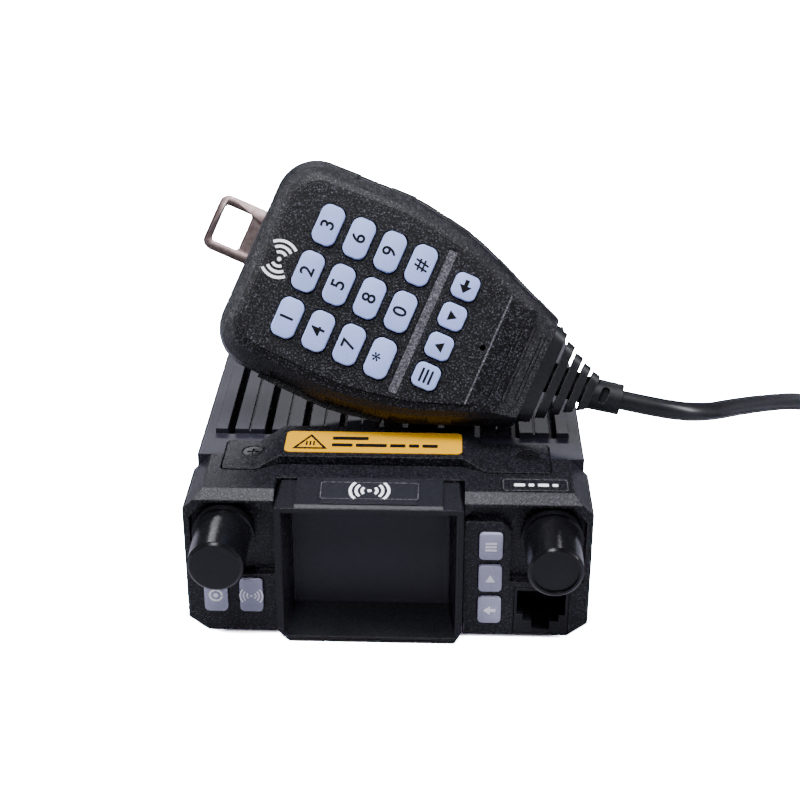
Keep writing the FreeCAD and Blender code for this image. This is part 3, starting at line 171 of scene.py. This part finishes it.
finishes = {
    # The panel's light flecks are painted glints: base colour standing in for the sparkle of the moulded
    # grain.
    "panel": grainy("moulded panel black with painted glints", {"dark": (0.002, 0.002, 0.003), "light": (0.040, 0.040, 0.050),
                    "fleck": (0.50, 0.75), "grain": 2300, "rough": 0.36, "strength": 1.0, "depth": 0.00014,
                    "shine": 0.28, "edge": 0.45}),
    "bezel": grainy("smooth bezel black", {"dark": (0.003, 0.003, 0.004), "light": (0.010, 0.010, 0.013),
                    "grain": 2300, "rough": 0.34, "strength": 0.5, "depth": 0.00008, "shine": 0.28,
                    "edge": 0.35}),
    "heatsink": grainy("heat sink enamel", {"dark": (0.011, 0.011, 0.017), "light": (0.016, 0.016, 0.025),
                       "grain": 2400, "rough": 0.42, "strength": 0.18, "depth": 0.00004, "patch": 25,
                       "shine": 0.3, "edge": 0.3}),
    "knob": grainy("knob gloss black", {"dark": (0.0025, 0.0025, 0.003), "light": (0.004, 0.004, 0.005),
                   "grain": 900, "rough": 0.22, "strength": 0.03, "depth": 0.00003, "shine": 0.3}),
    "button": grainy("button lavender", {"dark": (0.34, 0.345, 0.45), "light": (0.37, 0.375, 0.49),
                     "grain": 1500, "rough": 0.36, "strength": 0.12, "depth": 0.00003, "shine": 0.4}),
    "key": grainy("key periwinkle", {"dark": (0.30, 0.38, 0.70), "light": (0.33, 0.41, 0.74),
                  "grain": 1500, "rough": 0.36, "strength": 0.10, "depth": 0.00003, "shine": 0.35}),
    # The face's light flecks are painted glints: base colour standing in for tiny specular sparkles on the
    # face.
    "handset": grainy("handset face black with painted glints", {"dark": (0.0015, 0.0015, 0.002), "light": (0.085, 0.085, 0.10),
                      "fleck": (0.54, 0.76), "grain": 2500, "rough": 0.40, "strength": 1.0, "depth": 0.00012,
                      "shine": 0.22, "edge": 0.3}),
    "leather": grainy("handset leather grain", {"dark": (0.003, 0.003, 0.004), "light": (0.009, 0.009, 0.012),
                      "grain": 1800, "rough": 0.34, "cells": 1700, "strength": 0.7, "depth": 0.0001,
                      "shine": 0.26, "edge": 0.3}),
    "rubber": grainy("boot rubber", {"dark": (0.004, 0.004, 0.005), "light": (0.008, 0.008, 0.010),
                     "grain": 1200, "rough": 0.42, "strength": 0.25, "depth": 0.00006, "shine": 0.32,
                     "edge": 0.3}),
    "cord": grainy("cord jacket", {"dark": (0.005, 0.005, 0.006), "light": (0.008, 0.008, 0.010),
                   "grain": 700, "rough": 0.38, "strength": 0.15, "depth": 0.00006, "shine": 0.35}),
    "screw": grainy("black screw", {"dark": (0.012, 0.012, 0.014), "light": (0.03, 0.03, 0.034),
                    "grain": 1500, "rough": 0.3, "strength": 0.15, "depth": 0.00004, "metal": 0.8,
                    "edge": 0.12}),
    "steel": grainy("hanger plate", {"dark": (0.16, 0.115, 0.105), "light": (0.24, 0.19, 0.18),
                    "grain": 700, "rough": 0.30, "strength": 0.10, "depth": 0.00003, "metal": 1.0}),
    "bright": grainy("turned steel", {"dark": (0.50, 0.50, 0.50), "light": (0.60, 0.60, 0.60),
                     "grain": 1500, "rough": 0.28, "strength": 0.1, "depth": 0.00003, "metal": 1.0}),
    "nickel": grainy("nickel plate", {"dark": (0.66, 0.65, 0.62), "light": (0.74, 0.73, 0.70),
                     "grain": 900, "rough": 0.18, "strength": 0.04, "depth": 0.00002, "metal": 1.0}),
    "yellow": grainy("yellow film", {"dark": (0.60, 0.295, 0.0), "light": (0.63, 0.31, 0.0),
                     "grain": 900, "rough": 0.7, "strength": 0.03, "depth": 0.00002, "shine": 0.04}),
    "ink": grainy("black ink", {"dark": (0.002, 0.002, 0.0025), "light": (0.004, 0.004, 0.005),
                  "grain": 2000, "rough": 0.6, "strength": 0.03, "depth": 0.00002, "shine": 0.1}),
    "white": grainy("white ink", {"dark": (0.90, 0.90, 0.92), "light": (0.96, 0.96, 0.98),
                    "grain": 2000, "rough": 0.5, "strength": 0.03, "depth": 0.00002, "shine": 0.3}),
    "badge": grainy("badge film", {"dark": (0.005, 0.005, 0.006), "light": (0.011, 0.011, 0.013),
                    "grain": 1800, "rough": 0.34, "strength": 0.20, "depth": 0.00005, "shine": 0.32,
                    "edge": 0.15}),
    "bar": grainy("grey bar", {"dark": (0.030, 0.029, 0.034), "light": (0.17, 0.165, 0.18),
                  "fleck": (0.42, 0.72), "grain": 2300, "rough": 0.42, "strength": 0.8, "depth": 0.0001,
                  "shine": 0.35}),
    "board": grainy("board laminate", {"dark": (0.010, 0.07, 0.03), "light": (0.015, 0.10, 0.045),
                    "grain": 500, "rough": 0.4, "strength": 0.1, "depth": 0.00005}),
    "cast": grainy("cast lid", {"dark": (0.45, 0.45, 0.46), "light": (0.55, 0.55, 0.56),
                   "grain": 700, "rough": 0.45, "strength": 0.3, "depth": 0.00008, "metal": 1.0}),
    "screen": grainy("screen grey", {"dark": (0.020, 0.018, 0.025), "light": (0.021, 0.019, 0.027),
                     "grain": 3000, "rough": 0.45, "strength": 0.02, "depth": 0.00001}),
    "glass": grainy("smoked window", {"dark": (0.024, 0.022, 0.030), "light": (0.026, 0.024, 0.032),
                    "grain": 60, "rough": 0.40, "strength": 0.0, "depth": 0.00001, "shine": 0.25}),
}
print(len(finishes), "finishes ready")


# The microphone cord is one curve: a lead, a curly stretch on the floor, and a tail to the plug.
# Its points and radii are in millimetres, and its angles in degrees.
cordLook = {
    "thick": 5 * mm,
    "lead": [(57.1, -20.69, 50.77), (69.62, -22.3, 48.62), (80.2, -14.9, 44.8),
             (90, -0.5, 39.4), (103, 18, 31.8), (116.5, 38.5, 22.5)],
    "curlMiddle": (182, 27, 7), "curlRadius": 55.5, "curlStart": 125, "curlSweep": 295, "curlRuns": 12,
    "intoCurl": 20, "outOfCurl": 15,
    "turns": 50, "coilRadius": 4.5, "pointsPerTurn": 12, "swellTurns": 1.2, "skipFirst": 6, "skipLast": 5,
    "tail": [(124.5, 46.5, 4.6), (135, 58, 3.4), (150, 60, 3.4),
             (163.5, 52, 3.4), (171, 38.5, 4), (171.6, 24, 4)],
}


def smoothCurve(name, points, thick=0):
    curve = bpy.data.curves.new(name, "CURVE")
    curve.dimensions = "3D"
    spline = curve.splines.new("NURBS")
    spline.points.add(len(points) - 1)
    for spot, point in zip(spline.points, points):
        spot.co = (*point, 1)
    spline.order_u = 3
    spline.use_endpoint_u = True
    spline.resolution_u = 4
    curve.bevel_depth = thick / 2
    curve.bevel_resolution = 3
    curve.use_fill_caps = True
    piece = bpy.data.objects.new(name, curve)
    bpy.context.scene.collection.objects.link(piece)
    return piece


def routeLine(piece):  # the points of a curve with no bevel
    bpy.context.view_layer.update()
    mesh = bpy.data.meshes.new_from_object(piece)
    line = [v.co.copy() for v in mesh.vertices]
    bpy.data.meshes.remove(mesh)
    return line


def makeCord(look):
    mid, radius = Vector(look["curlMiddle"]) * mm, look["curlRadius"] * mm
    corners = []
    for k in range(look["curlRuns"] + 1):
        angle = math.radians(look["curlStart"] - look["curlSweep"] * k / look["curlRuns"])
        corners.append(mid + radius * Vector((math.cos(angle), math.sin(angle), 0)))
    into = (corners[1] - corners[0]).normalized()
    out = (corners[-1] - corners[-2]).normalized()
    guide = smoothCurve("curlGuide", corners)
    guide.data.splines[0].resolution_u = 40
    line = routeLine(guide)
    bpy.data.objects.remove(guide)
    reach = [0.0]
    for a, b in zip(line, line[1:]):
        reach.append(reach[-1] + (b - a).length)
    count = look["turns"] * look["pointsPerTurn"]
    helix, k = [], 0
    for i in range(look["skipFirst"], count - look["skipLast"]):
        share = i / count
        along = share * reach[-1]
        while reach[k + 1] < along:
            k += 1
        part = (along - reach[k]) / (reach[k + 1] - reach[k])
        centre = line[k].lerp(line[k + 1], part)
        heading = (line[k + 1] - line[k]).normalized()
        side = heading.cross(Vector((0, 0, 1))).normalized()
        turn = math.tau * i / look["pointsPerTurn"] - math.pi / 2
        ends = min(1, share * look["turns"] / look["swellTurns"],
                   (1 - share) * look["turns"] / look["swellTurns"])
        swell = look["coilRadius"] * mm * math.sin(ends * math.pi / 2) ** 2
        helix.append(centre + side * swell * math.cos(turn) + Vector((0, 0, 1)) * swell * math.sin(turn))
    lead = [Vector(p) * mm for p in look["lead"]] + [corners[0] - into * look["intoCurl"] * mm]
    tail = [corners[-1] + out * look["outOfCurl"] * mm] + [Vector(p) * mm for p in look["tail"]]
    piece = smoothCurve("micCord", lead + helix + tail, look["thick"])
    piece.data.materials.append(finishes["cord"])
    probe = smoothCurve("cordProbe", lead + helix + tail)
    path = routeLine(probe)
    bpy.data.objects.remove(probe)
    length = sum((b - a).length for a, b in zip(path, path[1:]))
    print("cord length", round(length, 3), "m")
    return piece, length


micCord, cordLength = makeCord(cordLook)
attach(micCord, "handset")
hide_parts("cord_lead", "cord_curl", "cord_tail")


# The hand microphone leans on the radio, so what is printed on it uses its own axes.
handset = {
    "base": (-20.95, -11.67, 80.387),
    "across": (0.3903, 0.4190, 0.8198), "up": (-0.9201, 0.2101, 0.3306), "out": (-0.0337, -0.8833, 0.4675),
}


def axes(x, y, z, base):
    turn = Matrix((x, y, z)).transposed().to_4x4()
    return Matrix.Translation(Vector(base) * mm) @ turn


handFrame = axes(handset["across"], handset["up"], handset["out"], handset["base"])


# Copies of CAD nodes with rounded edges take the nodes' places.
def refined(node, body, finish, bevel, segments=2, angle=30, smooth=32):
    piece = bpy.data.objects.new(node + "Piece", nodes[node].data.copy())
    bpy.context.scene.collection.objects.link(piece)
    pick(piece)
    bpy.ops.object.mode_set(mode="EDIT")
    bpy.ops.mesh.select_all(action="SELECT")
    bpy.ops.mesh.remove_doubles(threshold=0.000005)
    bpy.ops.mesh.dissolve_limited(angle_limit=math.radians(0.8))
    bpy.ops.object.mode_set(mode="OBJECT")
    piece.data.materials.clear()
    piece.data.materials.append(finishes[finish])
    applied(piece, "BEVEL", width=bevel * mm, segments=segments, limit_method="ANGLE",
            angle_limit=math.radians(angle), miter_outer="MITER_ARC", use_clamp_overlap=True)
    pick(piece)
    bpy.ops.object.shade_smooth_by_angle(angle=math.radians(smooth))
    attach(piece, body)
    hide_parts(node)
    return piece


def shellWithFace(node, body, face, shoulder, flatLine):  # the raised face takes its own finish
    piece = bpy.data.objects.new(node + "Piece", nodes[node].data.copy())
    bpy.context.scene.collection.objects.link(piece)
    piece.data.materials.clear()
    piece.data.materials.append(finishes[shoulder])
    piece.data.materials.append(finishes[face])
    intoHand = handFrame.inverted()
    for side in piece.data.polygons:
        if (intoHand @ side.center).z > flatLine * mm:
            side.material_index = 1
    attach(piece, body)
    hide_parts(node)


def dressed(node, finish):
    mesh = nodes[node].data
    mesh.materials.clear()
    mesh.materials.append(finishes[finish])


def barrel(piece, ends=0.09, sides=0.05):  # draw a key's corners in, so that its outline bulges
    intoHand = handFrame.inverted()
    points = [intoHand @ v.co for v in piece.data.vertices]
    low = Vector(min(p[i] for p in points) for i in range(3))
    high = Vector(max(p[i] for p in points) for i in range(3))
    middle, half = (low + high) / 2, (high - low) / 2
    for spot, point in zip(piece.data.vertices, points):
        across, along = (point.x - middle.x) / half.x, (point.y - middle.y) / half.y
        point.x = middle.x + half.x * across * (1 - ends * along ** 2)
        point.y = middle.y + half.y * along * (1 - sides * across ** 2)
        spot.co = handFrame @ point


refinedNodes = [
    # node, body, slot, finish, bevel in mm, angle up to which faces are shaded as one
    ("volume_knob", "volume_knob", "knob", "knob", 0.2, 20),
    ("channel_knob", "channel_knob", "knob", "knob", 0.2, 20),
    ("handset_hanger", "handset", "hanger_steel", "steel", 0.25, 32),
    ("antenna_socket", "radio", "nickel", "nickel", 0.2, 32),
    ("power_gland", "radio", "gland_rubber", "rubber", 0.25, 32),
    ("speaker_jack", "radio", "socket_plastic", "bezel", 0.2, 32),
]
for node, body, slot, finish, bevel, smooth in refinedNodes:
    refined(node, body, finish, bevel, smooth=smooth)
panelKeys = ["button_monitor", "button_radio", "button_memory", "button_call", "button_exit"]
padKeys = ["key_%d" % k for k in range(1, 10)]
padKeys += ["key_star", "key_0", "key_hash", "key_menu", "key_up", "key_down", "key_back"]
keyEdge, keySteps = 0.35, 3
for node in panelKeys:
    refined(node, node, "button", keyEdge, keySteps)
for node in padKeys:
    barrel(refined(node, node, "key", keyEdge, keySteps))
faceLine = -1.2  # the flat face lies above this, in the microphone's own millimetres
shellWithFace("handset_front_shell", "handset", "handset", "leather", faceLine)
print("bodies refined")

nodesInFinish = {
    "heatsink": ["chassis_heatsink", "bottom_cover"],
    "panel": ["front_panel", "top_strip"],
    "bezel": ["display_bezel", "mic_jack", "fan_frame", "fan_rotor", "mic_plug"],
    "badge": ["nameplate"],
    "screw": ["strip_screws", "case_screws", "handset_screws"],
    "leather": ["handset_rear_shell", "ptt_bar"],
    "rubber": ["cable_boot"],
    "glass": ["display_window"],
    "screen": ["lcd_module"],
    "board": ["front_pcb", "main_pcb", "handset_pcb"],
    "yellow": ["hot_surface_label"],
    "bright": ["volume_pot", "encoder_body", "volume_shaft", "encoder_shaft"],
    "cast": ["rf_power_module"],
    "ink": ["speaker", "mic_capsule"],
}
for finish, dressedNodes in nodesInFinish.items():
    for node in dressedNodes:
        dressed(node, finish)
print("other nodes dressed")


# Legends are thin inked outlines, in millimetres on their own face.
def onFront(x, y, z):
    return axes((1, 0, 0), (0, 0, 1), (0, -1, 0), (x, y, z))


def onHand(x, y, z):
    return handFrame @ Matrix.Translation(Vector((x, y, z)) * mm)


# Outlines are in millimetres, and one inside another makes a hole.
def printed(name, outlines, matrix, body, finish, thick=0.05):
    curve = bpy.data.curves.new(name, "CURVE")
    curve.dimensions = "2D"
    curve.fill_mode = "BOTH"
    curve.extrude = thick / 2 * mm
    for outline in outlines:
        spline = curve.splines.new("POLY")
        spline.points.add(len(outline) - 1)
        for spot, (x, y) in zip(spline.points, outline):
            spot.co = (x * mm, y * mm, 0, 1)
        spline.use_cyclic_u = True
    piece = bpy.data.objects.new(name, curve)
    bpy.context.scene.collection.objects.link(piece)
    pick(piece)
    bpy.ops.object.convert(target="MESH")
    piece = bpy.context.object
    seat(piece, matrix)
    piece.data.materials.append(finishes[finish])
    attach(piece, body)


def lettered(name, text, size, matrix, body, finish, thick=0.05, bold=0.06):
    bpy.ops.object.text_add()
    piece = bpy.context.object
    piece.name = name
    piece.data.body = text
    piece.data.size = size * mm
    piece.data.extrude = thick / 2 * mm
    piece.data.offset = bold * mm
    piece.data.align_x = "CENTER"
    piece.data.align_y = "CENTER"
    bpy.ops.object.convert(target="MESH")
    piece = bpy.context.object
    seat(piece, matrix)
    piece.data.materials.clear()
    piece.data.materials.append(finishes[finish])
    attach(piece, body)


def roundedBox(wide, high, radius, steps=5):
    points = []
    for cx, cy, start in ((wide / 2 - radius, high / 2 - radius, 0),
                          (radius - wide / 2, high / 2 - radius, 90),
                          (radius - wide / 2, radius - high / 2, 180),
                          (wide / 2 - radius, radius - high / 2, 270)):
        for k in range(steps + 1):
            angle = math.radians(start + 90 * k / steps)
            points.append((cx + radius * math.cos(angle), cy + radius * math.sin(angle)))
    return points


def moved(outline, x, y):
    return [(px + x, py + y) for px, py in outline]


def arcBand(radius, thick, low, high, steps=14):
    outer = [(math.cos(math.radians(low + (high - low) * k / steps)),
              math.sin(math.radians(low + (high - low) * k / steps)))
             for k in range(steps + 1)]
    return [(x * (radius + thick / 2), y * (radius + thick / 2)) for x, y in outer] + \
           [(x * (radius - thick / 2), y * (radius - thick / 2)) for x, y in reversed(outer)]


def waveMark(size):  # a mast with radio waves on both sides
    marks = [roundedBox(size * 0.16, size * 0.16, size * 0.075)]
    for ring in (0.28, 0.5, 0.72):
        for start in (-42, 138):
            marks.append(arcBand(size * ring, size * 0.11, start, start + 84))
    return marks


def wordBars(words, x, y, high=1.7, letter=1.28, gap=0.8):  # a bar stands for each word
    bars = []
    for count in words:
        wide = count * letter
        bars.append(moved(roundedBox(wide, high, 0.3), x + wide / 2, y))
        x += wide + gap
    return bars


triangleUp = [(-1, -0.8), (1, -0.8), (0, 1)]
padLegends = {
    "key_1": "1", "key_2": "2", "key_3": "3",
    "key_4": "4", "key_5": "5", "key_6": "6",
    "key_7": "7", "key_8": "8", "key_9": "9",
    "key_star": "*", "key_0": "0", "key_hash": "#",
}
padLook = {"pitch": 12.5, "row": 8.35, "top": 1.22, "functionRow": -37.2, "functionPitch": 7.99,
           "functionMiddle": 1.5, "digit": 4.9}
for i, (node, text) in enumerate(padLegends.items()):
    row, column = divmod(i, 3)
    spot = onHand((column - 1) * padLook["pitch"], -row * padLook["row"], padLook["top"])
    lettered(node + "Digit", text, padLook["digit"], spot, node, "ink")
functionIcons = {
    "key_menu": [moved(roundedBox(3.6, 0.55, 0.2), 0, y) for y in (1.2, 0, -1.2)],
    "key_up": [[(x * 1.3, y * 1.2) for x, y in triangleUp]],
    "key_down": [[(x * 1.3, -y * 1.2) for x, y in triangleUp]],
    "key_back": [[(-1.7, 0), (0.2, 1.6), (0.2, 0.5), (1.7, 0.5), (1.7, -0.5), (0.2, -0.5), (0.2, -1.6)]],
}
for i, (node, icon) in enumerate(functionIcons.items()):
    across = (i - padLook["functionMiddle"]) * padLook["functionPitch"]
    spot = onHand(across, padLook["functionRow"], padLook["top"])
    printed(node + "Icon", icon, spot, node, "ink")
print("keypad legends printed")

panelLook = {"face": -52.02, "left": 11.4, "column": 24.8, "low": 8.4, "pitch": 9}
upper, middle = (panelLook["low"] + k * panelLook["pitch"] for k in (2, 1))
ringAndDot = [arcBand(1.5, 0.55, 0, 350, 24), roundedBox(1.2, 1.2, 0.55)]
threeBars = [moved(roundedBox(2.8, 0.5, 0.2), 0, y) for y in (0.9, 0, -0.9)]
backArrow = [(-1.5, 0), (0.2, 1.3), (0.2, 0.4), (1.5, 0.4), (1.5, -0.4), (0.2, -0.4), (0.2, -1.3)]
panelIcons = {
    # node: across, up, outlines
    "button_monitor": (-41.9, panelLook["left"], ringAndDot),
    "button_radio": (-33.2, panelLook["left"], waveMark(3.8)),
    "button_memory": (panelLook["column"], upper, threeBars),
    "button_call": (panelLook["column"], middle, [[(x * 1.2, y * 1.1) for x, y in triangleUp]]),
    "button_exit": (panelLook["column"], panelLook["low"], [backArrow]),
}
for node, (x, z, icon) in panelIcons.items():
    printed(node + "Icon", icon, onFront(x, panelLook["face"], z), node, "white")

labelLook = {
    "x": (-26.1, 17.7), "y": (-33.8, -22.8), "top": 41.76,
    "signFromLeft": 6.2, "outer": (4.4, 4.2, -0.3), "inner": (3.2, 3.05, -0.45),
    "wave": (0.45, 2.2, 0.2), "waveX": (-0.9, 0, 0.9), "waveY": -0.9,
    "textFromSign": 5.4, "lines": [([7], 1.9), ([4, 6, 3, 2, 3], -1.7)],
}
labelWide = labelLook["x"][1] - labelLook["x"][0]
labelMid = (sum(labelLook["x"]) / 2, sum(labelLook["y"]) / 2, labelLook["top"])
onLabel = Matrix.Translation(Vector(labelMid) * mm)
signX = labelLook["signFromLeft"] - labelWide / 2


def signOutline(wide, high, shift):
    return [(x * wide + signX, y * high + shift) for x, y in ((-1, -0.85), (1, -0.85), (0, 1))]


sign = [signOutline(*labelLook["outer"]), signOutline(*labelLook["inner"])]
for x in labelLook["waveX"]:
    sign.append(moved(roundedBox(*labelLook["wave"]), signX + x, labelLook["waveY"]))
printed("labelSign", sign, onLabel, "radio", "ink")
labelBars = []
for words, y in labelLook["lines"]:
    labelBars += wordBars(words, signX + labelLook["textFromSign"], y)
printed("labelLines", labelBars, onLabel, "radio", "ink")

plateLook = {"lip": 0.35, "lift": 0.2, "mark": 6.4, "outer": (23.4, 6.4, 0.6), "inner": (23.0, 6.0, 0.5)}
plateLow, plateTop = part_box("nameplate")
rise = math.atan2((plateTop.z - plateLow.z) - plateLook["lip"] * mm, plateTop.y - plateLow.y)
plateMid = (plateLow + plateTop) / 2
plateSpot = (plateMid.x, plateMid.y, plateMid.z + plateLook["lift"] * mm)
onPlate = Matrix.Translation(plateSpot) @ Matrix.Rotation(rise, 4, "X")
printed("nameplateMark", waveMark(plateLook["mark"]), onPlate, "radio", "white")
plateFrame = [roundedBox(*plateLook["outer"]), roundedBox(*plateLook["inner"])]
printed("nameplateLine", plateFrame, onPlate, "radio", "bar")

handLook = {
    "mark": 6.4, "markAt": (0, 7.9, 0.03),
    "bar": (38, 2.2, 0.4), "barAt": (0, -31, -0.2), "barThick": 0.3,
    "crease": (29, 0.45, 0.2), "creaseAt": (0, -48.6, 0.02), "creaseThick": 0.16,
}
printed("handsetMark", waveMark(handLook["mark"]), onHand(*handLook["markAt"]), "handset", "white")
printed("handsetBar", [roundedBox(*handLook["bar"])], onHand(*handLook["barAt"]), "handset", "bar",
        handLook["barThick"])
# The thin light strip across the face at the crease is a painted highlight, where light catches the bend
# toward the neck.
printed("handsetPaintedCreaseHighlight", [roundedBox(*handLook["crease"])], onHand(*handLook["creaseAt"]), "handset", "bar",
        handLook["creaseThick"])

modelLook = {
    "at": (35.2, -44.8, 39.53), "outer": (15.6, 5.6, 0.8), "inner": (15.2, 5.2, 0.6),
    "words": (2, 1, 2, 1), "start": -5.1, "high": 1.3, "letter": 1.3, "gap": 0.9,
}
onModel = Matrix.Translation([v * mm for v in modelLook["at"]])
modelFrame = [roundedBox(*modelLook["outer"]), roundedBox(*modelLook["inner"])]
modelBars = wordBars(modelLook["words"], modelLook["start"], 0, modelLook["high"], modelLook["letter"],
                     modelLook["gap"])
printed("modelFrame", modelFrame, onModel, "radio", "bar")
printed("modelMark", modelBars, onModel, "radio", "white")
print("marks printed")

# Paper floor, sky and five lamps.
floorLook = {
    "size": 6, "drop": 0.0002, "bright": 30.0, "tint": (0.985, 0.99, 1), "bounce": (0.30, 0.30, 0.34),
}
skyLook = {"color": (0.90, 0.91, 1), "strength": 0.10, "backdrop": 30.0}
bpy.ops.mesh.primitive_plane_add(size=floorLook["size"], location=(0, 0, -floorLook["drop"]))
floor = bpy.context.object
floor.name = "floor"
paper, made, links, shader = startFinish("paper floor")
made.remove(shader)
soft = made.new("ShaderNodeBsdfDiffuse")
soft.inputs["Color"].default_value = (*floorLook["bounce"], 1)
seen = made.new("ShaderNodeBsdfDiffuse")
seen.inputs["Color"].default_value = (*(floorLook["bright"] * part for part in floorLook["tint"]), 1)
floorRay = made.new("ShaderNodeLightPath")
choose = made.new("ShaderNodeMixShader")
links.new(floorRay.outputs["Is Camera Ray"], choose.inputs["Fac"])
links.new(soft.outputs["BSDF"], choose.inputs[1])
links.new(seen.outputs["BSDF"], choose.inputs[2])
links.new(choose.outputs["Shader"], made["Material Output"].inputs["Surface"])
floor.data.materials.append(paper)
floor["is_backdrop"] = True

world = bpy.data.worlds.new("studio")
bpy.context.scene.world = world
world.use_nodes = True
skyNodes, skyLinks = world.node_tree.nodes, world.node_tree.links
sky = skyNodes["Background"]
sky.inputs["Color"].default_value = (*skyLook["color"], 1)
skyRay = skyNodes.new("ShaderNodeLightPath")
strength = span(skyNodes, skyLinks, skyRay.outputs["Is Camera Ray"], skyLook["strength"],
                skyLook["backdrop"], 0, 1)
skyLinks.new(strength, sky.inputs["Strength"])

lampAim, lampColor = (0, 0, 0.03), (0.92, 0.92, 1)
lamps = {
    # name: place, wide, high, watts
    "overhead": ((-0.1, -0.1, 1.05), 0.6, 0.35, 15),
    "rearStrip": ((-0.1, 1.1, 0.7), 0.9, 0.1, 4),
    "leftBox": ((-0.8, -0.05, 0.45), 0.15, 0.6, 10),
    "rightBox": ((0.75, -0.2, 0.45), 0.15, 0.6, 10),
    "frontFill": ((-0.2, -0.75, 1.1), 0.35, 0.25, 6),
}
for name, (spot, wide, high, watts) in lamps.items():
    bpy.ops.object.light_add(type="AREA", location=spot)
    lamp = bpy.context.object
    lamp.name = name
    lamp.data.shape = "RECTANGLE"
    lamp.data.color = lampColor
    lamp.data.size, lamp.data.size_y, lamp.data.energy = wide, high, watts
    lamp.rotation_euler = (Vector(lampAim) - Vector(spot)).to_track_quat("-Z", "Y").to_euler()
print("studio lit")

low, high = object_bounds()
